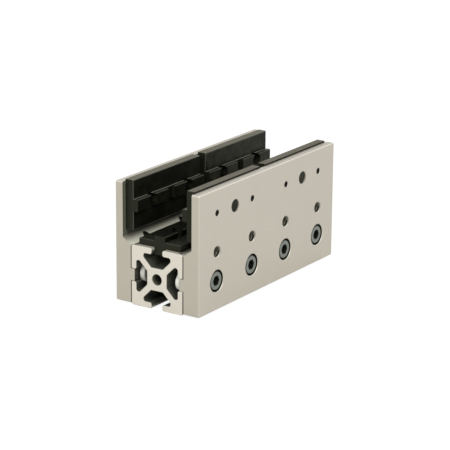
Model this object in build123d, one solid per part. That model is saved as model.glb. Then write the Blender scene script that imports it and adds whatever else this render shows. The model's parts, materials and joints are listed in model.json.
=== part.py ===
from build123d import *
import os

# Overall sizes, all in millimetres
LENGTH = 160.0
PROFILE_SIZE = 40.0
PLATE_THICKNESS = 12.0
PLATE_UPPER_THICKNESS = 5.6

# Section of the base profile
LIP_THICKNESS = 4.1
CORNER_WALL = 9.7
CORE_HALF = 7.6
CORE_FLAT = 9.0
CAVITY_ROUND = 1.4
LIP_ROUND = 1.4
PROFILE_CORNER = 2.0
PROFILE_BORE = 6.8
BORE_BEVEL = 0.4
END_BEVEL = 0.2

# Side plates
PLATE_RISE = 0.8
STEP_START_BELOW_TOP = 0.8
STEP_RISE = 4.5
PLATE_BEVEL = 0.5
PLATE_CORNER = 1.0
SEAT_RELIEF = 0.35
SEAT_RELIEF_LENGTH = 2.5
KEY_DEPTH = 2.7
KEY_BEVEL = 0.4
HOLES_PER_ROW = 4
ROW_MARGIN = 20.0
COUNTERBORE_FLOOR = 3.4
COUNTERBORE_BEVEL = 0.4
TAPPED_HOLE = 6.8
TAPPED_HOLE_BELOW_TOP = 0.8
TAPPED_BEVEL = 0.6
PAD_HOLE_BEVEL = 0.2
CENTRE_MARK = 1.8
CENTRE_MARK_DEPTH = 0.6

# Bearing pads
PAD_MARGIN = 3.6
PAD_STANDOUT = 1.1
BASE_PAD_MARGIN = 4.1
BASE_PAD_THICKNESS = 4.3
PAD_GAP = 6.5
PAD_INSET = 3.25
RIDGE_HEIGHT = 3.5
RIDGE_NOTCH = 7.0
RIDGE_NOTCH_DEPTH = 2.3
PAD_BEVEL = 0.4
PAD_COUNTERBORE = 9.0
PAD_BOSS = 8.3
PAD_BOSS_RECESS = 0.5
STEM_EXTRA_DEPTH = 0.5
STEM_RELIEF_GAP = 0.5

# Hardware
PLATE_SCREW = 8.0
PLATE_SCREW_HEAD = 13.0
PLATE_SCREW_HEAD_HEIGHT = 8.0
PLATE_SCREW_SOCKET = 6.0
HEAD_BEVEL_SHARE = 0.08
TIP_BEVEL_SHARE = 0.1
SOCKET_FLOOR_SHARE = 0.5
SOCKET_POINT_SHARE = 0.25
PAD_SCREW = 4.0
PAD_SCREW_HEAD = 7.0
PAD_SCREW_HEAD_HEIGHT = 2.8
PAD_SCREW_SOCKET = 2.5
PAD_SCREW_BITE = 3.0
NUT_BAR_WIDTH = 12.0
NUT_BAR_THICKNESS = 3.2
NUT_BAR_BEVEL = 0.5
NUT_BAR_INSET = 2.8
NUT_BAR_SHIFT = 1.2
NUT_BAR_GAP = 8.0
NUT_BAR_NECK_GAP = 0.6
NUT_BAR_NECK_INSET = 1.5
PAD_NUT_LENGTH = 14.0
PAD_NUT_SIDE_GAP = 1.8
PAD_NUT_THICKNESS = 3.4
SCREW_STANDOUT = 1.3
BASE_SCREW_STANDOUT = 0.5

# Clearances
SLOT_CLEARANCE = 0.15
SLOT_SCREW_CLEARANCE = 0.1
SLIDE_CLEARANCE = 0.4
BASE_CLEARANCE = 0.2
SCREW_CLEARANCE = 0.5
HEAD_CLEARANCE = 0.7
PAD_SCREW_CLEARANCE = 0.25
NECK_CLEARANCE = 0.2
THREAD_CLEARANCE = 0.05
BOSS_CLEARANCE = 0.1

# Values worked out from the ones above
HALF = PROFILE_SIZE / 2
CENTRE_Z = HALF
PITCH = (LENGTH - 2 * ROW_MARGIN) / (HOLES_PER_ROW - 1)
LIP_INSIDE = HALF - LIP_THICKNESS
SLOT_OPENING = PLATE_SCREW + 2 * SLOT_SCREW_CLEARANCE
CAVITY_WIDTH = PROFILE_SIZE - 2 * CORNER_WALL
KEY_WIDTH = SLOT_OPENING - 2 * SLOT_CLEARANCE
OUTER_FACE = HALF + PLATE_THICKNESS
UPPER_FACE = OUTER_FACE - PLATE_UPPER_THICKNESS
STEP_START = PROFILE_SIZE - STEP_START_BELOW_TOP
COUNTERBORE = PLATE_SCREW_HEAD + 2 * HEAD_CLEARANCE
COUNTERBORE_FACE = HALF + COUNTERBORE_FLOOR
TAPPED_HOLE_Z = PROFILE_SIZE - TAPPED_HOLE_BELOW_TOP
PAD_THICKNESS = UPPER_FACE - HALF - SLIDE_CLEARANCE
PAD_CENTRE_Z = PROFILE_SIZE + BASE_PAD_THICKNESS + BASE_CLEARANCE + HALF
PAD_HEIGHT = PROFILE_SIZE - 2 * PAD_MARGIN
PLATE_TOP = PAD_CENTRE_Z + PAD_HEIGHT / 2 - PAD_STANDOUT
BASE_PAD_WIDTH = PROFILE_SIZE - 2 * BASE_PAD_MARGIN
PAD_LENGTH = (LENGTH - PAD_GAP) / 2 - PAD_INSET
PAD_CENTRE_X = PAD_GAP / 2 + PAD_LENGTH / 2
STEM_DEPTH = LIP_THICKNESS + STEM_EXTRA_DEPTH
STEM_RELIEF = STEM_EXTRA_DEPTH + SLOT_CLEARANCE
STEM_RELIEF_LENGTH = PAD_NUT_LENGTH + 2 * STEM_RELIEF_GAP
NUT_BAR_LENGTH = (LENGTH - NUT_BAR_GAP) / 2 - NUT_BAR_INSET
NUT_BAR_CENTRE_X = NUT_BAR_GAP / 2 + NUT_BAR_LENGTH / 2
NUT_BAR_NECK = LIP_THICKNESS - KEY_DEPTH - NUT_BAR_NECK_GAP
PAD_NUT_WIDTH = CAVITY_WIDTH - 2 * PAD_NUT_SIDE_GAP
PLATE_SCREW_LENGTH = COUNTERBORE_FACE - LIP_INSIDE + NUT_BAR_THICKNESS + SCREW_STANDOUT
PAD_SCREW_SEAT = PAD_THICKNESS - PAD_SCREW_HEAD_HEIGHT
PAD_SCREW_LENGTH = PAD_SCREW_SEAT + PAD_SCREW_BITE
BASE_SCREW_SEAT = BASE_PAD_THICKNESS - PAD_SCREW_HEAD_HEIGHT
BASE_SCREW_GRIP = BASE_SCREW_SEAT + LIP_THICKNESS + PAD_NUT_THICKNESS
BASE_SCREW_LENGTH = BASE_SCREW_GRIP + BASE_SCREW_STANDOUT
OVERRUN = 1.0


def row_positions():
    """X of the holes in one row of a side plate."""
    first = -LENGTH / 2 + ROW_MARGIN
    return [first + PITCH * i for i in range(HOLES_PER_ROW)]


def row_offsets(side, centre):
    """The row's holes on one side of the middle, measured from a piece there."""
    return [x - centre for x in row_positions() if x * side > 0]


def outward(x, y, z):
    """Frame on the rear side whose own Z points out along Y."""
    return Pos(x, y, z) * Rot(-90, 0, 0)


def inward(x, y, z):
    """Frame on the rear side whose own Z points back toward the channel."""
    return Pos(x, y, z) * Rot(90, 0, 0)


def column(radius, low, high):
    """Cylinder about its own Z between two heights."""
    return Pos(0, 0, low) * extrude(Circle(radius), high - low)


def to_front(shape):
    """The same piece turned half a turn onto the front side."""
    return Rot(0, 0, 180) * shape


# Base profile
def slot_section():
    """Outline of one slot that opens toward the X of its own sketch."""
    half_cavity = CAVITY_WIDTH / 2
    half_flat = CORE_FLAT / 2
    half_open = SLOT_OPENING / 2
    slope_end = half_cavity + CORE_HALF - half_flat
    outline = Polyline(
        (HALF + OVERRUN, half_open),
        (LIP_INSIDE, half_open),
        (LIP_INSIDE, half_cavity),
        (slope_end, half_cavity),
        (CORE_HALF, half_flat),
        (CORE_HALF, -half_flat),
        (slope_end, -half_cavity),
        (LIP_INSIDE, -half_cavity),
        (LIP_INSIDE, -half_open),
        (HALF + OVERRUN, -half_open),
        close=True,
    )
    face = make_face(outline)
    inside = [v for v in face.vertices() if v.X < HALF and abs(v.Y) > half_open + 0.01]
    if half_flat <= half_open:
        inside += [v for v in face.vertices() if v.X < CORE_HALF + 0.01]
    return fillet(inside, CAVITY_ROUND)


def is_lip_corner(vertex):
    """True for the four corners at the mouth of each slot."""
    near = min(abs(vertex.X), abs(vertex.Y))
    far = max(abs(vertex.X), abs(vertex.Y))
    return abs(near - SLOT_OPENING / 2) < 0.01 and far > LIP_INSIDE - 0.01


def profile_section():
    """Square section with a slot on each side and a bore in the middle."""
    section = RectangleRounded(PROFILE_SIZE, PROFILE_SIZE, PROFILE_CORNER)
    slot = slot_section()
    for angle in (0, 90, 180, 270):
        section -= Rot(0, 0, angle) * slot
    section = fillet([v for v in section.vertices() if is_lip_corner(v)], LIP_ROUND)
    return section - Circle(PROFILE_BORE / 2)


def base_profile():
    """The slotted length that everything is fixed to."""
    body = extrude(Plane.YZ * profile_section(), LENGTH / 2, both=True)
    for index in (0, -1):
        end = body.faces().sort_by(Axis.X)[index]
        body = chamfer(end.outer_wire().edges(), END_BEVEL)
    body = Pos(0, 0, CENTRE_Z) * body
    mouth = PROFILE_BORE / 2 + BORE_BEVEL
    cutter = Cone(PROFILE_BORE / 2, mouth, BORE_BEVEL)
    offset = LENGTH / 2 - BORE_BEVEL / 2
    body -= Pos(offset, 0, CENTRE_Z) * Rot(0, 90, 0) * cutter
    body -= Pos(-offset, 0, CENTRE_Z) * Rot(0, -90, 0) * cutter
    return body


# Side plates
def plate_blank():
    """Rear plate before drilling, with the key that enters the side slot."""
    key_low = CENTRE_Z - KEY_WIDTH / 2
    key_high = CENTRE_Z + KEY_WIDTH / 2
    key_face = HALF - KEY_DEPTH
    outline = Polyline(
        (HALF, PLATE_RISE),
        (OUTER_FACE, PLATE_RISE),
        (OUTER_FACE, PLATE_TOP),
        (UPPER_FACE, PLATE_TOP),
        (UPPER_FACE, STEP_START + STEP_RISE),
        (HALF, STEP_START),
        (HALF, key_high),
        (key_face + KEY_BEVEL, key_high),
        (key_face, key_high - KEY_BEVEL),
        (key_face, key_low + KEY_BEVEL),
        (key_face + KEY_BEVEL, key_low),
        (HALF, key_low),
        close=True,
    )
    blank = extrude(Plane.YZ * make_face(outline), LENGTH / 2, both=True)
    levels = blank.edges().filter_by(Axis.Y).group_by(Axis.Z)
    blank = fillet(levels[0] + levels[-1], PLATE_CORNER)
    face = blank.faces().sort_by(Axis.Y)[-1]
    return chamfer(face.edges(), PLATE_BEVEL)


def cut_seat_reliefs(plate):
    """Shallow steps that keep the plate clear of the profile's sawn ends."""
    height = (PROFILE_SIZE - KEY_WIDTH) / 2
    step = Box(2 * SEAT_RELIEF_LENGTH, 2 * SEAT_RELIEF, height)
    for x in (-LENGTH / 2, LENGTH / 2):
        for z in (height / 2, PROFILE_SIZE - height / 2):
            plate -= Pos(x, HALF, z) * step
    return plate


def mouth(radius, bevel, level):
    """Bevel round a hole that ends at the given height."""
    return Pos(0, 0, level - bevel / 2) * Cone(radius, radius + bevel, bevel)


def screw_hole():
    """Counterbored clearance hole, its own Z zero at the head seat."""
    low = -COUNTERBORE_FLOOR - KEY_DEPTH - OVERRUN
    face = PLATE_THICKNESS - COUNTERBORE_FLOOR
    hole = column(PLATE_SCREW / 2 + SCREW_CLEARANCE, low, 0)
    hole += column(COUNTERBORE / 2, 0, face + OVERRUN)
    return hole + mouth(COUNTERBORE / 2, COUNTERBORE_BEVEL, face)


def through_hole(radius, bevel=0):
    """Hole through a plate, its own Z zero at the outer face."""
    hole = column(radius, -PLATE_THICKNESS - OVERRUN, OVERRUN)
    if bevel:
        hole += mouth(radius, bevel, 0)
    return hole


def rear_plate():
    """Drilled rear plate; the front one is the same plate turned round."""
    plate = cut_seat_reliefs(plate_blank())
    tapped_hole = through_hole(TAPPED_HOLE / 2, TAPPED_BEVEL)
    pad_hole = through_hole(PAD_SCREW / 2 + THREAD_CLEARANCE, PAD_HOLE_BEVEL)
    boss_hole = through_hole(PAD_BOSS / 2 + BOSS_CLEARANCE)
    for x in row_positions():
        plate -= outward(x, COUNTERBORE_FACE, CENTRE_Z) * screw_hole()
        plate -= outward(x, OUTER_FACE, TAPPED_HOLE_Z) * tapped_hole
        plate -= outward(x, OUTER_FACE, PAD_CENTRE_Z) * pad_hole
    for side in (-1, 1):
        plate -= outward(side * PAD_CENTRE_X, OUTER_FACE, PAD_CENTRE_Z) * boss_hole
    mark = Cone(0, CENTRE_MARK / 2, CENTRE_MARK_DEPTH)
    return plate - outward(0, OUTER_FACE - CENTRE_MARK_DEPTH / 2, TAPPED_HOLE_Z) * mark


# Bearing pads
def pad_body(width, thickness):
    """Flat pad with its notched ridge, back face at height zero."""
    slab = Pos(0, 0, thickness / 2) * Box(PAD_LENGTH, width, thickness)
    slab = chamfer(slab.edges().group_by(Axis.Z)[-1], PAD_BEVEL)
    high = thickness + RIDGE_HEIGHT
    ridge = Pos(0, 0, high / 2) * Box(PAD_LENGTH, KEY_WIDTH, high)
    long_edges = ridge.edges().group_by(Axis.Z)[-1].filter_by(Axis.X)
    pad = slab + chamfer(long_edges, PAD_BEVEL)
    notch = Box(RIDGE_NOTCH, KEY_WIDTH + OVERRUN, 2 * RIDGE_NOTCH_DEPTH)
    return pad - Pos(0, 0, high) * notch


def pad_screw_hole(seat, high):
    """Clearance hole of a pad screw with the pocket for its head."""
    radius = PAD_SCREW / 2 + PAD_SCREW_CLEARANCE
    hole = column(radius, -STEM_DEPTH - OVERRUN, seat)
    return hole + column(PAD_COUNTERBORE / 2, seat, high + OVERRUN)


def side_pad(side):
    """Pad of a side plate, with the boss that enters the plate."""
    pad = pad_body(PAD_HEIGHT, PAD_THICKNESS)
    boss = column(PAD_BOSS / 2, -PLATE_UPPER_THICKNESS + PAD_BOSS_RECESS, OVERRUN)
    pad += chamfer(boss.edges().group_by(Axis.Z)[0], PAD_BEVEL)
    hole = pad_screw_hole(PAD_SCREW_SEAT, PAD_THICKNESS + RIDGE_HEIGHT)
    for x in row_offsets(side, side * PAD_CENTRE_X):
        pad -= Pos(x, 0, 0) * hole
    return pad


def base_pad(side):
    """Pad of the profile, with the stem that fills the slot mouth."""
    pad = pad_body(BASE_PAD_WIDTH, BASE_PAD_THICKNESS)
    pad += Pos(0, 0, -STEM_DEPTH / 2) * Box(PAD_LENGTH, KEY_WIDTH, STEM_DEPTH)
    relief = Box(STEM_RELIEF_LENGTH, KEY_WIDTH + OVERRUN, 2 * STEM_RELIEF)
    hole = pad_screw_hole(BASE_SCREW_SEAT, BASE_PAD_THICKNESS + RIDGE_HEIGHT)
    for x in row_offsets(side, side * PAD_CENTRE_X):
        pad -= Pos(x, 0, -STEM_DEPTH) * relief
        pad -= Pos(x, 0, 0) * hole
    return pad


# Screws and nuts
def cap_screw(diameter, head, head_height, socket, length):
    """Socket head screw with its seat at height zero and its head upward."""
    top = column(head / 2, 0, head_height)
    top = chamfer(top.edges().group_by(Axis.Z)[-1], head_height * HEAD_BEVEL_SHARE)
    shank = column(diameter / 2, -length, OVERRUN)
    shank = chamfer(shank.edges().group_by(Axis.Z)[0], diameter * TIP_BEVEL_SHARE)
    floor = head_height * SOCKET_FLOOR_SHARE
    hexagon = RegularPolygon(socket / 2, 6, major_radius=False)
    drive = Pos(0, 0, floor) * extrude(hexagon, head_height - floor)
    point = socket * SOCKET_POINT_SHARE
    drill = Pos(0, 0, floor - point / 2) * Cone(0, socket / 2, point)
    return top + shank - drive - drill


def plate_screw():
    """Screw that holds a side plate to a nut bar."""
    return cap_screw(
        PLATE_SCREW,
        PLATE_SCREW_HEAD,
        PLATE_SCREW_HEAD_HEIGHT,
        PLATE_SCREW_SOCKET,
        PLATE_SCREW_LENGTH,
    )


def pad_screw(length):
    """Low head screw that holds a bearing pad."""
    return cap_screw(
        PAD_SCREW,
        PAD_SCREW_HEAD,
        PAD_SCREW_HEAD_HEIGHT,
        PAD_SCREW_SOCKET,
        length,
    )


def nut_bar_centre(side):
    """X of the middle of a rear nut bar, which sits a little to the right."""
    return side * NUT_BAR_CENTRE_X + NUT_BAR_SHIFT


def nut_bar(side):
    """Round ended bar with two threads, its top face at height zero."""
    body = extrude(SlotOverall(NUT_BAR_LENGTH, NUT_BAR_WIDTH), -NUT_BAR_THICKNESS)
    body = chamfer(body.edges().group_by(Axis.Z)[0], NUT_BAR_BEVEL)
    neck_length = NUT_BAR_LENGTH - 2 * NUT_BAR_NECK_INSET
    neck_width = SLOT_OPENING - 2 * NECK_CLEARANCE
    bar = body + extrude(SlotOverall(neck_length, neck_width), NUT_BAR_NECK)
    low = -NUT_BAR_THICKNESS - OVERRUN
    hole = column(PLATE_SCREW / 2 + THREAD_CLEARANCE, low, NUT_BAR_NECK + OVERRUN)
    for x in row_offsets(side, nut_bar_centre(side)):
        bar -= Pos(x, 0, 0) * hole
    return bar


def pad_nut():
    """Short nut under the lips of the top slot, top face at height zero."""
    middle = -PAD_NUT_THICKNESS / 2
    nut = Pos(0, 0, middle) * Box(PAD_NUT_LENGTH, PAD_NUT_WIDTH, PAD_NUT_THICKNESS)
    low_edges = nut.edges().group_by(Axis.Z)[0].filter_by(Axis.X)
    nut = chamfer(low_edges, PAD_NUT_THICKNESS / 2)
    radius = PAD_SCREW / 2 + THREAD_CLEARANCE
    return nut - column(radius, -PAD_NUT_THICKNESS - OVERRUN, OVERRUN)


# Placing every piece
SIDES = (("left", "right", -1), ("right", "left", 1))


def place_frame():
    """Profile and both plates."""
    plate = rear_plate()
    return {
        "base_profile": base_profile(),
        "rear_plate": plate,
        "front_plate": to_front(plate),
    }


def place_pads():
    """Four side pads and two base pads."""
    pieces = {}
    for name, opposite, side in SIDES:
        pad = inward(side * PAD_CENTRE_X, UPPER_FACE, PAD_CENTRE_Z) * side_pad(side)
        pieces["rear_pad_" + name] = pad
        pieces["front_pad_" + opposite] = to_front(pad)
        base = Pos(side * PAD_CENTRE_X, 0, PROFILE_SIZE) * base_pad(side)
        pieces["base_pad_" + name] = base
    return pieces


def place_nut_bars():
    """Two nut bars in each side slot."""
    pieces = {}
    for name, opposite, side in SIDES:
        bar = outward(nut_bar_centre(side), LIP_INSIDE, CENTRE_Z) * nut_bar(side)
        pieces["rear_nut_bar_" + name] = bar
        pieces["front_nut_bar_" + opposite] = to_front(bar)
    return pieces


def place_plate_screws():
    """Four screws through each side plate."""
    pieces = {}
    screw = plate_screw()
    for i, x in enumerate(row_positions(), start=1):
        placed = outward(x, COUNTERBORE_FACE, CENTRE_Z) * screw
        pieces[f"rear_plate_screw_{i}"] = placed
        pieces[f"front_plate_screw_{HOLES_PER_ROW + 1 - i}"] = to_front(placed)
    return pieces


def place_pad_hardware():
    """Screws of the side pads, and screws with their nuts for the base pads."""
    pieces = {}
    side_screw = pad_screw(PAD_SCREW_LENGTH)
    base_screw = pad_screw(BASE_SCREW_LENGTH)
    side_seat = UPPER_FACE - PAD_SCREW_SEAT
    base_seat = PROFILE_SIZE + BASE_SCREW_SEAT
    nut_top = PROFILE_SIZE - LIP_THICKNESS
    for i, x in enumerate(row_positions(), start=1):
        placed = inward(x, side_seat, PAD_CENTRE_Z) * side_screw
        pieces[f"rear_pad_screw_{i}"] = placed
        pieces[f"front_pad_screw_{HOLES_PER_ROW + 1 - i}"] = to_front(placed)
        pieces[f"base_pad_screw_{i}"] = Pos(x, 0, base_seat) * base_screw
        pieces[f"base_pad_nut_{i}"] = Pos(x, 0, nut_top) * pad_nut()
    return pieces


def build_all():
    """Every node of the part, by name."""
    pieces = place_frame()
    pieces.update(place_pads())
    pieces.update(place_nut_bars())
    pieces.update(place_plate_screws())
    pieces.update(place_pad_hardware())
    return pieces


os.makedirs("parts", exist_ok=True)
for node, shape in build_all().items():
    export_step(shape, f"parts/{node}.step")
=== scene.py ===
"""Looks of a U-shaped plain linear bearing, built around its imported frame.

Lengths in the piece classes are millimetres. Meshes are in metres, in the frame
of the CAD model: X runs along the channel, Y from the front plate to the rear
plate and Z up.
"""

from __future__ import annotations

import json
import logging
import math
from dataclasses import dataclass
from enum import Enum
from typing import Any, Mapping, Union

import bmesh
import bpy
from mathutils import Matrix, Vector

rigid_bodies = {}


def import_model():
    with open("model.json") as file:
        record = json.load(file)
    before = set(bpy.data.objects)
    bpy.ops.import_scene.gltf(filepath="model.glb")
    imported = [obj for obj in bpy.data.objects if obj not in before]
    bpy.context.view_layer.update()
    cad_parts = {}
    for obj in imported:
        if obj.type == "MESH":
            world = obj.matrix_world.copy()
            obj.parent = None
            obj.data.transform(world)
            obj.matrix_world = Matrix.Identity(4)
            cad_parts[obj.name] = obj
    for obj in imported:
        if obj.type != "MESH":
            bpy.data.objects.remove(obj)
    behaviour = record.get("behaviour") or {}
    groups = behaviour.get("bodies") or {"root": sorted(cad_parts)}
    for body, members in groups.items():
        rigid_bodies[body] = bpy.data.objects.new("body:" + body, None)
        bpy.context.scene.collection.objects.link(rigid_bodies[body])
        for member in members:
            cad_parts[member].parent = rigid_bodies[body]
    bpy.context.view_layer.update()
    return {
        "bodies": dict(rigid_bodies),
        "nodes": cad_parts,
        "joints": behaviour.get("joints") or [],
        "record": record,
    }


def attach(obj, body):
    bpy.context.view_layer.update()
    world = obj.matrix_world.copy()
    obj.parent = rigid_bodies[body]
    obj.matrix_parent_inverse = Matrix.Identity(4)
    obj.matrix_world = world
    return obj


LOG = logging.getLogger("linear_bearing")
MM = 0.001
BODY = "root"

# Places in the frame, in millimetres. The profile's axis and the plates' screws are
# half a profile above the ground.
HALF_LENGTH = 80.0
HALF_PROFILE = 20.0
OUTER_FACE = 32.0
UPPER_FACE = 26.4
STEP_FOOT = 39.5
STEP_HEAD = 43.9
PLATE_TOP = 79.8
BASE_PAD_TOP = 45.0
SIDE_PAD_FOOT = 48.0
SIDE_PAD_TOP = 80.9
HOLE_PITCH = 40.0
HOLE_ROW = (-60.0, -20.0, 20.0, 60.0)
TAPPED_ROW = 39.2
PAD_ROW = 64.5

# Ranges of a face's direction: square to an axis, and sloping between two axes.
FLAT = (0.8, 0.95)
SLOPED = (0.3, 0.4)

# How far outside its radius a hole's mask starts, and how far outside it is full.
RIM_FADE = (0.06, 0.01)

# Edges of new pieces that turn by more degrees than this are drawn sharp.
SHARP_ANGLE = 35.0

Colour = tuple[float, float, float]
Triple = tuple[float, float, float]
Span = tuple[float, float]
Value = Union["Wire", float, tuple]

WHITE: Colour = (1.0, 1.0, 1.0)


# Shader maths
@dataclass(frozen=True)
class Wire:
    """One output socket of a node tree that can be used in an expression."""

    sheet: "NodeSheet"
    socket: bpy.types.NodeSocket

    def _with(self, operation: str, *values: Value) -> "Wire":
        """Adds a Math node and gives its result."""
        return self.sheet.math(operation, *values)

    def __add__(self, other: Value) -> "Wire":
        """Sum."""
        return self._with("ADD", self, other)

    __radd__ = __add__

    def __sub__(self, other: Value) -> "Wire":
        """Difference."""
        return self._with("SUBTRACT", self, other)

    def __rsub__(self, other: Value) -> "Wire":
        """Difference from the left value."""
        return self._with("SUBTRACT", other, self)

    def __mul__(self, other: Value) -> "Wire":
        """Product."""
        return self._with("MULTIPLY", self, other)

    __rmul__ = __mul__

    def __pow__(self, other: Value) -> "Wire":
        """Power."""
        return self._with("POWER", self, other)

    def __abs__(self) -> "Wire":
        """Absolute value."""
        return self._with("ABSOLUTE", self)

    def largest(self, other: Value) -> "Wire":
        """The larger of two values."""
        return self._with("MAXIMUM", self, other)

    def root(self) -> "Wire":
        """Square root."""
        return self._with("SQRT", self)

    def swing(self, gain: float) -> "Wire":
        """Noise around a half, made a change around zero."""
        return (self - 0.5) * gain

    def fold(self, period: float) -> "Wire":
        """Distance along a row of equal steps, from minus to plus half a step.

        Args:
            period: Length of one step, with a step's edge at zero.

        Returns:
            The value measured from the middle of its own step.
        """
        return self._with("FLOORED_MODULO", self, period) - period / 2

    def rise(self, low: float, high: float) -> "Wire":
        """Smooth step from 0 to 1 between two values.

        Args:
            low: Value at which the result is 0.
            high: Value at which the result is 1, which may be below low.

        Returns:
            The step.
        """
        node = self.sheet.node(
            "ShaderNodeMapRange",
            {"interpolation_type": "SMOOTHSTEP"},
            {"Value": self, "From Min": low, "From Max": high},
        )
        return self.sheet.wire(node, "Result")


class NodeSheet:
    """The node tree of one material or world, with one way to add a node."""

    def __init__(self, tree: bpy.types.NodeTree) -> None:
        """Empties the tree.

        Args:
            tree: Node tree to write in.
        """
        self.tree = tree
        tree.nodes.clear()

    def wire(self, node: bpy.types.Node, output: Union[str, int] = 0) -> Wire:
        """The named output of a node."""
        return Wire(self, node.outputs[output])

    def node(
        self,
        kind: str,
        settings: Mapping[str, Any] | None = None,
        inputs: Mapping[Union[str, int], Value] | None = None,
    ) -> bpy.types.Node:
        """Adds one node.

        Args:
            kind: Blender's name of the node type.
            settings: Properties, which are set before the inputs.
            inputs: Value or wire of each socket, by name or place.

        Returns:
            The new node.
        """
        node = self.tree.nodes.new(kind)
        for name, value in (settings or {}).items():
            setattr(node, name, value)
        for name, value in (inputs or {}).items():
            if isinstance(value, Wire):
                self.tree.links.new(value.socket, node.inputs[name])
            else:
                node.inputs[name].default_value = value
        return node

    def math(self, operation: str, *values: Value) -> Wire:
        """A Math node on up to three values.

        Args:
            operation: Blender's name of the operation.
            values: Wires or numbers in order.

        Returns:
            The result.
        """
        node = self.node(
            "ShaderNodeMath", {"operation": operation}, dict(enumerate(values))
        )
        return self.wire(node)

    def mix_colour(self, share: Value, first: Value, second: Value) -> Wire:
        """Blends two colours.

        Args:
            share: How much of the second colour shows, from 0 to 1.
            first: Colour at 0.
            second: Colour at 1.

        Returns:
            The blend.
        """
        node = self.node(
            "ShaderNodeMix",
            {"data_type": "RGBA"},
            {0: share, 6: _rgba(first), 7: _rgba(second)},
        )
        return self.wire(node, 2)

    def tint(self, colour: Value, gain: Value) -> Wire:
        """Makes a colour lighter or darker.

        Args:
            colour: The colour.
            gain: Factor on it.

        Returns:
            The product.
        """
        node = self.node(
            "ShaderNodeVectorMath", {"operation": "SCALE"}, {0: colour, "Scale": gain}
        )
        return self.wire(node)

    def place(self, stretch: Triple = (1.0, 1.0, 1.0)) -> Wire:
        """Reads the place on the object.

        Args:
            stretch: Factor on each axis.

        Returns:
            Object coordinates in millimetres, times the factors.
        """
        source = self.node("ShaderNodeTexCoord")
        scale = tuple(s / MM for s in stretch)
        node = self.node(
            "ShaderNodeVectorMath",
            {"operation": "MULTIPLY"},
            {0: self.wire(source, "Object"), 1: scale},
        )
        return self.wire(node)

    def axes(self) -> tuple[Wire, Wire, Wire]:
        """X, Y and Z in millimetres."""
        node = self.node("ShaderNodeSeparateXYZ", None, {0: self.place()})
        return self.wire(node, 0), self.wire(node, 1), self.wire(node, 2)

    def facing(self) -> tuple[Wire, Wire, Wire]:
        """Reads which way the surface faces.

        Returns:
            Parts of its direction along X, Y and Z, without sign.
        """
        source = self.node("ShaderNodeTexCoord")
        node = self.node("ShaderNodeSeparateXYZ", None, {0: self.wire(source, "Normal")})
        return tuple(abs(self.wire(node, i)) for i in range(3))

    def end_faces(self) -> Wire:
        """Finds the flat faces at both ends of the object.

        Returns:
            1 on those faces and 0 elsewhere.
        """
        x, _, _ = self.axes()
        along, _, _ = self.facing()
        return abs(x).rise(HALF_LENGTH - 0.10, HALF_LENGTH - 0.03) * along.rise(0.5, 0.9)

    def row_reach(self, height: float) -> Wire:
        """Measures how far the nearest hole axis of a row is.

        Args:
            height: Height of the row in millimetres.

        Returns:
            The distance in millimetres.
        """
        x, _, z = self.axes()
        step = x.fold(HOLE_PITCH)
        return (step * step + (z - height) ** 2.0).root()

    def inside(self, height: float, radius: float) -> Wire:
        """Finds what lies close to the hole axes of a row.

        Args:
            height: Height of the row in millimetres.
            radius: How close, in millimetres.

        Returns:
            1 inside the radius and 0 outside it, with a narrow fade.
        """
        start, full = RIM_FADE
        return self.row_reach(height).rise(radius + start, radius + full)

    def noise(
        self, step: float, stretch: Triple = (1.0, 1.0, 1.0), detail: float = 3.0
    ) -> Wire:
        """Makes even noise around a half.

        Args:
            step: Size of its patches in millimetres.
            stretch: Factor on each axis; a small one makes long streaks.
            detail: How many finer layers it has.

        Returns:
            The noise, from 0 to 1.
        """
        node = self.node(
            "ShaderNodeTexNoise",
            None,
            {"Vector": self.place(stretch), "Scale": 1.0 / step, "Detail": detail},
        )
        return self.wire(node, "Fac")


def _rgba(value: Value) -> Value:
    """Gives a plain colour full alpha.

    Args:
        value: A colour of three numbers, or anything else.

    Returns:
        Four numbers for a plain colour, or else the value as it is.
    """
    if isinstance(value, tuple) and len(value) == 3:
        return (*value, 1.0)
    return value


@dataclass(frozen=True)
class Surface:
    """What varies over a finish, and how deep its bumps are in millimetres."""

    colour: Value
    roughness: Value
    height: Wire
    depth: float
    metallic: Value = 1.0


# Finishes
@dataclass(frozen=True)
class Finish:
    """A surface finish; each kind says how its surface varies."""

    name: str
    colour: Colour
    roughness: float
    specular: float = 0.5
    shine: Colour = WHITE

    def surface(self, sheet: NodeSheet) -> Surface:
        """Draws the finish's own pattern.

        Args:
            sheet: Node tree to write in.

        Returns:
            What varies over the finish.
        """
        raise NotImplementedError

    def material(self) -> bpy.types.Material:
        """Builds the material.

        Returns:
            A material with one Principled shader.
        """
        made = bpy.data.materials.new(self.name)
        made.use_nodes = True
        made.diffuse_color = (*self.colour, 1.0)
        sheet = NodeSheet(made.node_tree)
        surface = self.surface(sheet)
        bump = sheet.node(
            "ShaderNodeBump",
            None,
            {"Strength": 1.0, "Distance": surface.depth * MM, "Height": surface.height},
        )
        shader = sheet.node(
            "ShaderNodeBsdfPrincipled",
            None,
            {
                "Base Color": _rgba(surface.colour),
                "Metallic": surface.metallic,
                "Roughness": surface.roughness,
                "Specular IOR Level": self.specular,
                "Specular Tint": (*self.shine, 1.0),
                "Normal": sheet.wire(bump),
            },
        )
        output = sheet.node("ShaderNodeOutputMaterial")
        sheet.tree.links.new(shader.outputs[0], output.inputs["Surface"])
        return made


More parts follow.
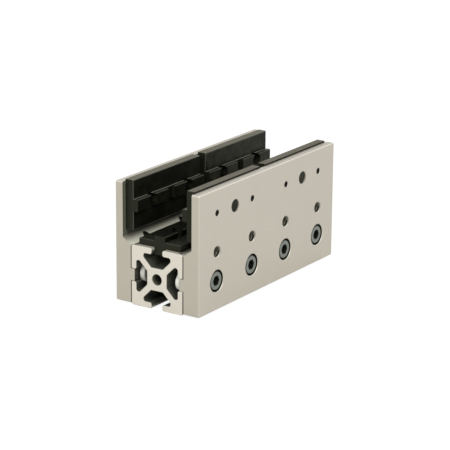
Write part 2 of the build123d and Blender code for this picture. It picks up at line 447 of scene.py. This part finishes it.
@dataclass(frozen=True)
class PlateAluminium(Finish):
    """Blasted and clear anodised plate with turned holes and milled ends.

    The radii are those of the plate screws', the tapped and the pad screws' holes.
    """

    end_colour: Colour = (0.522, 0.485, 0.422)
    hole_shade_colour: Colour = (0.013, 0.012, 0.008)
    crest_light_colour: Colour = (0.235, 0.215, 0.16)
    mouth_colour: Colour = (0.62, 0.60, 0.53)
    seat_shade_colour: Colour = (0.045, 0.045, 0.036)
    inner_shade_colour: Colour = (0.115, 0.118, 0.092)
    slope_light_colour: Colour = (0.86, 0.84, 0.71)
    metal_share: float = 0.55
    dull_share: float = 0.8
    base_tone: float = 0.97
    grain_step: float = 0.22
    cloud_step: float = 21.0
    cutter_step: float = 0.35
    turned_step: float = 0.12
    hole_shade_radii: Triple = (7.2, 3.4, 2.05)
    turned_radii: Triple = (7.6, 4.0, 2.25)
    crest_radius: float = 3.14
    crest_light_depth: Span = (5.0, 1.0)
    slope_shade: float = 0.55
    top_shade: float = 0.24
    flare_shade: float = 0.5
    crown_highlight_gain: float = 0.22
    bump_depth: float = 0.010

    def surface(self, sheet: NodeSheet) -> Surface:
        """Draws blasted grain, with painted shade in the holes, on the parts inside the
        profile's slots, the channel sides, slopes, top faces and tapped mouths, and painted
        light on thread crests, slope feet and the top bevel.

        Args:
            sheet: Node tree to write in.

        Returns:
            What varies over the finish.
        """
        _, y, z = sheet.axes()
        along, across, upward = sheet.facing()
        reach = abs(y)
        bevel = (across * upward).rise(*SLOPED)
        grain = sheet.noise(self.grain_step, detail=2.0)
        cloud = sheet.noise(self.cloud_step)
        cutter = sheet.noise(self.cutter_step, stretch=(1.0, 1.0, 0.06), detail=2.0)
        rings = sheet.noise(self.turned_step, stretch=(0.02, 1.0, 0.02), detail=1.0)
        end = sheet.end_faces()
        # Hole walls are painted dark as shade and made duller.
        wall = self._holes(sheet, self.hole_shade_radii)
        turned = self._holes(sheet, self.turned_radii)
        # Thread crests get painted light, full at the outer face and fading deeper in the hole.
        deep, shallow = self.crest_light_depth
        lit = 0.3 + reach.rise(OUTER_FACE - deep, OUTER_FACE - shallow) * 0.7
        crest = sheet.inside(TAPPED_ROW, self.crest_radius) * lit
        # Painted shade on the tapped holes' countersinks where they face along the row.
        flare = sheet.inside(TAPPED_ROW, self.turned_radii[1]) * along.rise(0.25, 0.6)
        flare = flare * (1 - wall)
        # Painted shade on the parts that reach into the profile's slots, apart from the ends.
        seat_shade = reach.rise(HALF_PROFILE - 0.1, HALF_PROFILE - 0.2) * (1 - end)
        # Painted shade on the channel sides above the step.
        above = z.rise(STEP_HEAD - 0.4, STEP_HEAD)
        inner_shade = reach.rise(UPPER_FACE + 0.15, UPPER_FACE + 0.05) * above * across.rise(*FLAT)
        # The slope is painted lighter, with painted shade growing towards its head under the
        # pads.
        slope = reach.rise(UPPER_FACE + 0.1, UPPER_FACE - 0.1) * bevel
        # Painted shade on the top faces.
        top = z.rise(PLATE_TOP - 0.2, PLATE_TOP - 0.05) * upward.rise(*FLAT)
        # Painted highlight on the top bevel.
        crown = z.rise(PLATE_TOP - 0.6, PLATE_TOP - 0.45) * bevel
        climb = z.rise(STEP_FOOT, STEP_HEAD)
        shade = 1.0 - slope * climb * self.slope_shade - top * self.top_shade
        shade = shade * (1.0 + crown * self.crown_highlight_gain) * (1.0 - flare * self.flare_shade)
        colour = sheet.mix_colour(end, self.colour, self.end_colour)
        colour = sheet.mix_colour(turned, colour, self.mouth_colour)
        colour = sheet.mix_colour(slope, colour, self.slope_light_colour)
        colour = sheet.mix_colour(wall, colour, self.hole_shade_colour)
        colour = sheet.mix_colour(crest, colour, self.crest_light_colour)
        colour = sheet.mix_colour(inner_shade, colour, self.inner_shade_colour)
        colour = sheet.mix_colour(seat_shade, colour, self.seat_shade_colour)
        tone = (self.base_tone + cloud * 0.05 + grain.swing(0.06)) * shade
        metal = self.metal_share * (1 - wall.largest(inner_shade).largest(seat_shade) * self.dull_share)
        rough = self.roughness + grain.swing(0.16) + turned * 0.05
        height = grain * 0.6 + cutter * end * 0.7 + rings * turned
        return Surface(sheet.tint(colour, tone), rough, height, self.bump_depth, metal)

    @staticmethod
    def _holes(sheet: NodeSheet, radii: Triple) -> Wire:
        """Finds everything inside the three rows of holes.

        Args:
            sheet: Node tree to write in.
            radii: Radius about the plate screws, the tapped holes and the pad screws.

        Returns:
            1 inside any of the radii.
        """
        rows = (HALF_PROFILE, TAPPED_ROW, PAD_ROW)
        screw, tapped, pad = (sheet.inside(row, radius) for row, radius in zip(rows, radii))
        return screw.largest(tapped).largest(pad)


@dataclass(frozen=True)
class ProfileAluminium(Finish):
    """Anodised extrusion with die lines along it and bright sawn ends."""

    sawn_colour: Colour = (0.748, 0.703, 0.638)
    inner_shade_colour: Colour = (0.105, 0.108, 0.088)
    edge_colour: Colour = (0.030, 0.030, 0.023)
    bore_shade_colour: Colour = (0.17, 0.162, 0.125)
    flank_shadow_colour: Colour = (0.235, 0.225, 0.19)
    metal_share: float = 0.5
    base_tone: float = 0.96
    streak_step: float = 0.5
    saw_step: float = 0.3
    grain_step: float = 0.15
    bore_radius: float = 3.4
    bore_shade_depth: Span = (7.0, 1.0)
    flank_shadow_span: Span = (15.8, 16.6)
    bump_depth: float = 0.012

    def surface(self, sheet: NodeSheet) -> Surface:
        """Draws streaks on the skin and saw lines on the ends, with painted shade in the slots,
        the bore, along the seams with the plates and on the top beside the pads.

        Args:
            sheet: Node tree to write in.

        Returns:
            What varies over the finish.
        """
        x, y, z = sheet.axes()
        _, _, upward = sheet.facing()
        lift = z - HALF_PROFILE
        streak = sheet.noise(self.streak_step, stretch=(0.01, 1.0, 1.0), detail=3.0)
        saw = sheet.noise(self.saw_step, stretch=(1.0, 0.9, 0.05), detail=2.0)
        grain = sheet.noise(self.grain_step, detail=1.0)
        end = sheet.end_faces()
        # Painted shade inside the slots and cavities.
        inner_shade = abs(y).largest(abs(lift)).rise(HALF_PROFILE - 0.6, HALF_PROFILE - 2.5)
        # Painted shade in a thin band on the sawn ends along the seams with the plates.
        edge = abs(x).rise(HALF_LENGTH - 0.30, HALF_LENGTH - 0.22)
        edge = edge * abs(y).rise(HALF_PROFILE - 0.55, HALF_PROFILE - 0.42)
        # Painted shade in the bore, lighter near the end face.
        deep, shallow = self.bore_shade_depth
        bore = (y * y + lift * lift).root().rise(self.bore_radius + 0.3, self.bore_radius + 0.1)
        bore = bore * abs(x).rise(HALF_LENGTH - deep, HALF_LENGTH - shallow)
        skin = sheet.mix_colour(inner_shade, self.colour, self.inner_shade_colour)
        skin = sheet.mix_colour(bore, skin, self.bore_shade_colour)
        crown = z.rise(2 * HALF_PROFILE - 0.4, 2 * HALF_PROFILE - 0.2) * upward.rise(*FLAT)
        # Painted shadow on the profile's top beside the pads, next to the plates.
        flank_shadow = crown * abs(y).rise(*self.flank_shadow_span)
        skin = sheet.mix_colour(flank_shadow, skin, self.flank_shadow_colour)
        colour = sheet.mix_colour(end, skin, self.sawn_colour)
        colour = sheet.mix_colour(edge, colour, self.edge_colour)
        tone = self.base_tone + streak * 0.06 + saw.swing(0.08) * end + grain.swing(0.04)
        rough = self.roughness + streak.swing(0.15) + saw.swing(0.1) * end
        height = streak * (1 - end) + saw * end * 0.8 + grain * 0.2
        tinted = sheet.tint(colour, tone)
        return Surface(tinted, rough, height, self.bump_depth, self.metal_share)


@dataclass(frozen=True)
class BearingPlastic(Finish):
    """Black bearing plastic with fine cutter marks and a waxy shine."""

    bloom_and_sheen_colour: Colour = (0.024, 0.0245, 0.0165)
    edge_colour: Colour = (0.095, 0.097, 0.080)
    top_sheen_colour: Colour = (0.066, 0.050, 0.022)
    base_light_colour: Colour = (0.0180, 0.0200, 0.0135)
    end_colour: Colour = (0.0160, 0.0170, 0.0115)
    ledge_light_colour: Colour = (0.0200, 0.0210, 0.0150)
    root_highlight_colour: Colour = (0.260, 0.258, 0.210)
    marks_step: float = 0.45
    stipple_step: float = 0.18
    bloom_and_sheen_step: float = 6.0
    mouth_span: Span = (62.0, 74.0)
    ridge_foot: float = 57.0
    ridge_head: float = 70.0
    ridge_root_highlight: Span = (19.4, 19.8)
    edge_span: Span = (18.0, 19.0)
    bump_depth: float = 0.012

    def surface(self, sheet: NodeSheet) -> Surface:
        """Draws cutter marks along the pad, a dull blooming partly painted as sheen, pale
        scraped edges partly painted as highlights, and painted light on the base pad, the ridges
        and the tops.

        Args:
            sheet: Node tree to write in.

        Returns:
            What varies over the finish.
        """
        x, y, z = sheet.axes()
        along, _, upward = sheet.facing()
        marks = sheet.noise(self.marks_step, stretch=(0.05, 1.0, 1.0), detail=3.0)
        stipple = sheet.noise(self.stipple_step, detail=2.0)
        reach = abs(y)
        lying = upward.rise(*FLAT)
        # Patchy dull blooming, partly a painted reflection that is stronger on the +X half.
        bloom_and_sheen = sheet.noise(self.bloom_and_sheen_step, detail=4.0).rise(0.35, 0.75)
        bloom_and_sheen = bloom_and_sheen * (0.25 + x.rise(-1.0, 1.0) * 0.75)
        # Pale scraped edges, partly wear and partly painted highlights, brightest at the pads'
        # tops.
        rim = z.rise(SIDE_PAD_TOP - 0.8, SIDE_PAD_TOP - 0.5)
        edge = self._bevels(sheet) * (0.30 + marks * 0.6 + rim * 0.5)
        edge = edge * (0.65 + reach.rise(*self.edge_span) * 0.35)
        # Painted light on the base pad's top, stronger towards the open ends.
        mouth = 0.25 + abs(x).rise(*self.mouth_span) * 0.75
        base = z.rise(BASE_PAD_TOP + 1.0, BASE_PAD_TOP) * lying * mouth
        end = along.rise(*FLAT) * (0.7 + marks * 0.6)
        # Painted light on the ridges' top faces, with a painted highlight line where they meet
        # the pad's face.
        ledge_light = z.rise(self.ridge_head - 4.0, self.ridge_head - 3.0) * lying
        ledge_light = ledge_light * z.rise(self.ridge_head, self.ridge_head - 0.5)
        root = ledge_light * reach.rise(*self.ridge_root_highlight) * (0.5 + marks * 0.7)
        # Painted sheen on the side pads' tops.
        top = z.rise(SIDE_PAD_TOP - 0.9, SIDE_PAD_TOP - 0.1) * lying * (0.3 + marks)
        colour = sheet.mix_colour(bloom_and_sheen, self.colour, self.bloom_and_sheen_colour)
        colour = sheet.mix_colour(base, colour, self.base_light_colour)
        colour = sheet.mix_colour(end, colour, self.end_colour)
        colour = sheet.mix_colour(ledge_light, colour, self.ledge_light_colour)
        colour = sheet.mix_colour(root, colour, self.root_highlight_colour)
        colour = sheet.mix_colour(top, colour, self.top_sheen_colour)
        colour = sheet.mix_colour(edge, colour, self.edge_colour)
        rough = self.roughness + marks.swing(0.12) + bloom_and_sheen * 0.1
        height = marks * 0.5 + stipple * 0.5
        return Surface(colour, rough, height, self.bump_depth, metallic=0.0)

    def _bevels(self, sheet: NodeSheet) -> Wire:
        """Finds the narrow bevels, without hole walls and the ridges' lower edges.

        Args:
            sheet: Node tree to write in.

        Returns:
            1 on the bevels and 0 elsewhere.
        """
        _, _, z = sheet.axes()
        along, across, upward = sheet.facing()
        side = z.rise(SIDE_PAD_FOOT - 0.15, SIDE_PAD_FOOT + 0.05)
        ends = along * (across * side + upward * (1 - side))
        under = z.rise(self.ridge_foot, self.ridge_foot + 1.0)
        under = under * z.rise(self.ridge_foot + 6.0, self.ridge_foot + 5.0)
        return (across * upward * (1 - under)).largest(ends).rise(0.30, 0.45)


@dataclass(frozen=True)
class ScrewSteel(Finish):
    """Plated steel with turned rings about each screw of a row.

    The spans are shares of the socket's radius.
    """

    row_height: float = HALF_PROFILE
    upright: bool = False
    ring_step: float = 0.35
    patch_step: float = 1.6
    grain_step: float = 0.12
    rim: float = 5.8
    rim_shade: float = 0.25
    socket: float = 3.0
    socket_shade: float = 0.07
    floor_span: Span = (1.01, 0.98)
    wall_span: Span = (1.20, 1.17)
    lip_span: Span = (1.25, 1.20)
    bump_depth: float = 0.012

    def surface(self, sheet: NodeSheet) -> Surface:
        """Draws rings about the screw's axis and a patchy tone, with painted shade in the
        socket, on a ring around the socket and at the head's rim.

        Args:
            sheet: Node tree to write in.

        Returns:
            What varies over the finish.
        """
        x, y, _ = sheet.axes()
        _, across, upward = sheet.facing()
        if self.upright:
            reach = (x.fold(HOLE_PITCH) ** 2.0 + y * y).root()
            crown = upward
        else:
            reach = sheet.row_reach(self.row_height)
            crown = across
        rings = sheet.math("SINE", reach * (2.0 * math.pi / self.ring_step)) * 0.5
        patch = sheet.noise(self.patch_step, detail=4.0)
        grain = sheet.noise(self.grain_step, detail=1.0)
        # Painted shade at the head's rim, deep in the socket and on a ring around the socket.
        rim = reach.rise(self.rim - 0.25, self.rim)
        floor, walls, lip_shade = (
            reach.rise(*(self.socket * share for share in shares))
            for shares in (self.floor_span, self.wall_span, self.lip_span)
        )
        deep = floor.largest(walls * crown.rise(0.6, 0.4))
        shade = (1 - rim * (1 - self.rim_shade)) * (1 - deep * (1 - self.socket_shade))
        tone = (1.0 + patch.swing(0.36) + grain.swing(0.08)) * shade * (1 - lip_shade * 0.4)
        rough = self.roughness + patch.swing(0.2)
        height = rings * 0.4 + grain * 0.4 + patch * 0.5
        tinted = sheet.tint(self.colour, tone)
        return Surface(tinted, rough, height, self.bump_depth, 1 - deep * 0.85)


@dataclass(frozen=True)
class NutSteel(Finish):
    """Bright plated nuts with a drawn grain along them."""

    metal_share: float = 0.3
    drawn_step: float = 0.4
    patch_step: float = 2.2
    bump_depth: float = 0.010

    def surface(self, sheet: NodeSheet) -> Surface:
        """Draws fine lines along the bar and a faint patchy tone.

        Args:
            sheet: Node tree to write in.

        Returns:
            What varies over the finish.
        """
        drawn = sheet.noise(self.drawn_step, stretch=(0.05, 1.0, 1.0), detail=2.0)
        patch = sheet.noise(self.patch_step, detail=3.0)
        tinted = sheet.tint(self.colour, 1.0 + patch.swing(0.16))
        rough = self.roughness + drawn.swing(0.15)
        return Surface(tinted, rough, drawn, self.bump_depth, self.metal_share)


class Finishes(Enum):
    """Every finish on the bearing."""

    PLATE = PlateAluminium("plate_anodised", colour=(0.592, 0.553, 0.496), roughness=0.42)
    PROFILE = ProfileAluminium("profile_anodised", colour=(0.62, 0.585, 0.52), roughness=0.40)
    PLASTIC = BearingPlastic(
        "bearing_black",
        colour=(0.0042, 0.0048, 0.0030),
        roughness=0.30,
        specular=0.13,
        shine=(0.97, 1.0, 0.76),
    )
    PLATE_SCREW = ScrewSteel("plate_screw_plated", colour=(0.27, 0.295, 0.28), roughness=0.34)
    PAD_SCREW = ScrewSteel(
        "pad_screw_blackened",
        colour=(0.030, 0.031, 0.026),
        roughness=0.50,
        row_height=PAD_ROW,
        rim=3.3,
        socket=1.25,
    )
    BASE_SCREW = ScrewSteel(
        "base_screw_blackened",
        colour=(0.055, 0.058, 0.050),
        roughness=0.40,
        upright=True,
        rim=3.3,
        socket=1.25,
    )
    NUT = NutSteel("nut_plated", colour=(0.80, 0.79, 0.74), roughness=0.55)


class Wardrobe:
    """Makes each finish's material once."""

    def __init__(self) -> None:
        """Starts with nothing made."""
        self.made: dict[Finishes, bpy.types.Material] = {}

    def get(self, finish: Finishes) -> bpy.types.Material:
        """Makes a finish's material when it is first asked for.

        Args:
            finish: The finish.

        Returns:
            Its material.
        """
        if finish not in self.made:
            self.made[finish] = finish.value.material()
        return self.made[finish]


# Pieces
@dataclass
class Group:
    """Base of the sub-assemblies: a set of frame nodes with their finishes."""

    nodes: dict[str, bpy.types.Object]
    wardrobe: Wardrobe

    def build(self) -> None:
        """Makes and dresses the group's pieces."""
        raise NotImplementedError

    def dress(self, name: str, finish: Finishes) -> None:
        """Gives a frame node its material.

        Args:
            name: Node of the frame.
            finish: Finish that all of it takes.
        """
        mesh = self.nodes[name].data
        mesh.materials.clear()
        mesh.materials.append(self.wardrobe.get(finish))
        LOG.info("dressed %s in %s", name, finish.value.name)

    def dress_all(self, part: str, finish: Finishes) -> None:
        """Gives several frame nodes the same material.

        Args:
            part: What the names of the nodes have in common.
            finish: Finish that they take.
        """
        for name in sorted(self.nodes):
            if part in name:
                self.dress(name, finish)

    def keep(self, name: str, shape: bmesh.types.BMesh, finish: Finishes, slot: str) -> None:
        """Turns a finished bmesh into a piece that rides on the object.

        Args:
            name: Name of the piece.
            shape: Its shape in millimetres, freed afterwards.
            finish: Its finish.
            slot: Material slot of the record; not used.
        """
        bmesh.ops.recalc_face_normals(shape, faces=shape.faces)
        bmesh.ops.scale(shape, vec=(MM, MM, MM), verts=shape.verts)
        mesh = bpy.data.meshes.new(name)
        shape.to_mesh(mesh)
        shape.free()
        mesh.materials.append(self.wardrobe.get(finish))
        for polygon in mesh.polygons:
            polygon.use_smooth = True
        mesh.set_sharp_from_angle(angle=math.radians(SHARP_ANGLE))
        piece = bpy.data.objects.new(name, mesh)
        bpy.context.scene.collection.objects.link(piece)
        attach(piece, BODY)
        LOG.info("made %s with %d faces", name, len(mesh.polygons))


@dataclass(frozen=True)
class Thread:
    """Ridge of a thread that winds along the wall of a tapped hole."""

    root_radius: float
    crest_radius: float
    pitch: float
    length: float
    sink: float
    steps_per_turn: int = 36
    crest_share: float = 0.2
    foot_share: float = 0.8

    def shape(self) -> bmesh.types.BMesh:
        """Sweeps the ridge's section round and along Z.

        Returns:
            The ridge about its own Z, from zero downwards.
        """
        made = bmesh.new()
        foot = self.pitch * self.foot_share / 2
        crest = self.pitch * self.crest_share / 2
        corners = (
            (self.root_radius, -foot),
            (self.crest_radius, -crest),
            (self.crest_radius, crest),
            (self.root_radius, foot),
        )
        points = [made.verts.new((r, 0.0, h - foot)) for r, h in corners]
        edges = [made.edges.new(pair) for pair in zip(points, points[1:] + points[:1])]
        turns = (self.length - 2 * foot) / self.pitch
        steps = round(turns * self.steps_per_turn)
        section = made.faces.new(points)
        bmesh.ops.spin(
            made,
            geom=points + edges + [section],
            axis=(0.0, 0.0, 1.0),
            cent=(0.0, 0.0, 0.0),
            dvec=(0.0, 0.0, -self.pitch / self.steps_per_turn),
            angle=steps * 2 * math.pi / self.steps_per_turn,
            steps=steps,
        )
        return made


@dataclass
class SidePlates(Group):
    """Both plates and the threads in their holes."""

    thread: Thread = Thread(
        root_radius=3.44, crest_radius=3.02, pitch=1.25, length=5.9, sink=0.65
    )
    pad_thread: Thread = Thread(
        root_radius=2.08,
        crest_radius=1.72,
        pitch=0.70,
        length=2.0,
        sink=0.25,
        steps_per_turn=24,
    )

    def build(self) -> None:
        """Dresses the plates and winds a thread in each tapped hole."""
        for side, word in ((-1, "front"), (1, "rear")):
            self.dress(f"{word}_plate", Finishes.PLATE)
            for i, x in enumerate(HOLE_ROW, start=1):
                self._wind(self.thread, f"{word}_tapped_thread_{i}", side, x, TAPPED_ROW)
                self._wind(self.pad_thread, f"{word}_pad_thread_{i}", side, x, PAD_ROW)

    def _wind(self, thread: Thread, name: str, side: int, x: float, z: float) -> None:
        """Places one thread in a hole.

        Args:
            thread: Sizes of the thread, and how far in from the outer face it starts.
            name: Name of the piece.
            side: -1 on the front plate and 1 on the rear plate.
            x: Place of the hole along the row.
            z: Height of the hole.
        """
        shape = thread.shape()
        turn = Matrix.Rotation(math.radians(-90.0 * side), 4, "X")
        spot = Matrix.Translation((x, side * (OUTER_FACE - thread.sink), z))
        bmesh.ops.transform(shape, matrix=spot @ turn, verts=shape.verts)
        self.keep(name, shape, Finishes.PLATE, "plate_aluminium")


@dataclass
class SlottedProfile(Group):
    """The slotted length with the nuts in its slots."""

    def build(self) -> None:
        """Dresses the profile, the nut bars and the base pads' nuts."""
        self.dress("base_profile", Finishes.PROFILE)
        self.dress_all("_nut", Finishes.NUT)


@dataclass
class BearingPads(Group):
    """Side pads and base pads with their screws."""

    def build(self) -> None:
        """Dresses the pads and the low head screws."""
        self.dress_all("_pad_left", Finishes.PLASTIC)
        self.dress_all("_pad_right", Finishes.PLASTIC)
        self.dress_all("front_pad_screw", Finishes.PAD_SCREW)
        self.dress_all("rear_pad_screw", Finishes.PAD_SCREW)
        self.dress_all("base_pad_screw", Finishes.BASE_SCREW)


@dataclass
class PlateScrews(Group):
    """Socket head screws of both plates."""

    def build(self) -> None:
        """Dresses the eight screws."""
        self.dress_all("_plate_screw", Finishes.PLATE_SCREW)


# Studio
@dataclass(frozen=True)
class Softbox:
    """One square area lamp aimed at the object, in metres and watts."""

    name: str
    place: Triple
    size: float
    power: float
    tint: Colour = (1.0, 0.98, 0.95)

    def build(self, target: Vector) -> None:
        """Hangs the lamp.

        Args:
            target: Point that it faces.
        """
        lamp = bpy.data.lights.new(self.name, "AREA")
        lamp.shape = "SQUARE"
        lamp.size = self.size
        lamp.energy = self.power
        lamp.color = self.tint
        holder = bpy.data.objects.new(self.name, lamp)
        holder.location = self.place
        aim = target - Vector(self.place)
        holder.rotation_euler = aim.to_track_quat("-Z", "Y").to_euler()
        bpy.context.scene.collection.objects.link(holder)


@dataclass(frozen=True)
class Viewpoint:
    """Camera fitted to the photograph, in degrees and metres, with its lens in mm."""

    azimuth: float = -56.238
    elevation: float = 17.009
    roll: float = 0.442
    distance: float = 1.340758
    lens: float = 163.7237
    sensor: float = 36.0
    target: Triple = (-0.003512, 0.0, 0.036959)

    def build(self) -> None:
        """Makes the camera and hands it to the scene."""
        turn = math.radians(self.azimuth)
        lift = math.radians(self.elevation)
        lean = math.radians(self.roll)
        right = Vector((math.cos(turn), math.sin(turn), 0.0))
        back = Vector(
            (math.sin(turn) * math.cos(lift), -math.cos(turn) * math.cos(lift), math.sin(lift))
        )
        up = back.cross(right)
        across = right * math.cos(lean) + up * math.sin(lean)
        upward = up * math.cos(lean) - right * math.sin(lean)
        frame = Matrix((across, upward, back)).transposed().to_4x4()
        frame.translation = Vector(self.target) + back * self.distance
        lens = bpy.data.cameras.new("photo_camera")
        lens.lens = self.lens
        lens.sensor_width = self.sensor
        camera = bpy.data.objects.new("photo_camera", lens)
        camera.matrix_world = frame
        bpy.context.scene.collection.objects.link(camera)
        bpy.context.scene.camera = camera


@dataclass(frozen=True)
class Studio:
    """Pale floor, white surroundings, soft lamps and the camera, in metres."""

    floor_reach: float = 6.0
    floor_drop: float = 0.0002
    floor_colour: Colour = (0.68, 0.68, 0.66)
    floor_glow: float = 1.13
    white_share: float = 0.80
    world_colour: Colour = (0.98, 1.0, 0.965)
    world_strength: float = 0.78
    mirror_strength: float = 0.95
    lamp_target: Triple = (0.0, 0.0, 0.04)
    lamps: tuple[Softbox, ...] = (
        Softbox("key_softbox", place=(-0.70, -1.20, 1.35), size=0.9, power=17.0),
        Softbox("end_softbox", place=(-1.40, 0.30, 0.70), size=0.7, power=4.0),
        Softbox(
            "back_softbox",
            place=(0.90, 1.20, 1.30),
            size=0.8,
            power=3.5,
            tint=(1.0, 0.92, 0.82),
        ),
    )

    def build(self) -> None:
        """Sets up everything around the object."""
        bpy.context.scene.view_settings.view_transform = "Standard"
        self._world()
        self._floor()
        for lamp in self.lamps:
            lamp.build(Vector(self.lamp_target))
        Viewpoint().build()
        LOG.info("studio ready with %d lamps", len(self.lamps))

    def _world(self) -> None:
        """White for the camera, a little lower in reflections and as light."""
        world = bpy.data.worlds.new("studio_white")
        bpy.context.scene.world = world
        world.use_nodes = True
        sheet = NodeSheet(world.node_tree)
        path = sheet.node("ShaderNodeLightPath")
        seen = sheet.wire(path, "Is Camera Ray")
        mirror = sheet.wire(path, "Is Glossy Ray")
        through = sheet.wire(path, "Is Transmission Ray")
        plain = self.world_strength + mirror * (self.mirror_strength - self.world_strength)
        white = seen.largest(through)
        strength = plain + white * (1 - plain)
        colour = sheet.mix_colour(white, self.world_colour, WHITE)
        light = sheet.node("ShaderNodeBackground", None, {"Color": colour, "Strength": strength})
        output = sheet.node("ShaderNodeOutputWorld")
        sheet.tree.links.new(light.outputs[0], output.inputs["Surface"])

    def _floor(self) -> None:
        """A wide pale floor that the camera sees as white with a soft shadow."""
        shape = bmesh.new()
        bmesh.ops.create_grid(shape, x_segments=1, y_segments=1, size=self.floor_reach)
        bmesh.ops.translate(shape, vec=(0.0, 0.0, -self.floor_drop), verts=shape.verts)
        mesh = bpy.data.meshes.new("studio_floor")
        shape.to_mesh(mesh)
        shape.free()
        floor = bpy.data.objects.new("studio_floor", mesh)
        bpy.context.scene.collection.objects.link(floor)
        made = bpy.data.materials.new("studio_floor")
        made.use_nodes = True
        sheet = NodeSheet(made.node_tree)
        seen = sheet.wire(sheet.node("ShaderNodeLightPath"), "Is Camera Ray")
        matt = sheet.node("ShaderNodeBsdfDiffuse", None, {"Color": (*self.floor_colour, 1.0)})
        glow = sheet.node("ShaderNodeEmission", None, {"Strength": self.floor_glow})
        mixed = sheet.node(
            "ShaderNodeMixShader",
            None,
            {0: seen * self.white_share, 1: sheet.wire(matt), 2: sheet.wire(glow)},
        )
        output = sheet.node("ShaderNodeOutputMaterial")
        sheet.tree.links.new(mixed.outputs[0], output.inputs["Surface"])
        mesh.materials.append(made)


def main() -> None:
    """Builds the studio and every piece around the frame."""
    logging.basicConfig(level=logging.INFO, format="%(name)s %(message)s")
    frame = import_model()
    Studio().build()
    nodes = frame["nodes"]
    wardrobe = Wardrobe()
    groups: tuple[type[Group], ...] = (SlottedProfile, SidePlates, BearingPads, PlateScrews)
    for group in groups:
        group(nodes, wardrobe).build()


if __name__ == "__main__":
    main()
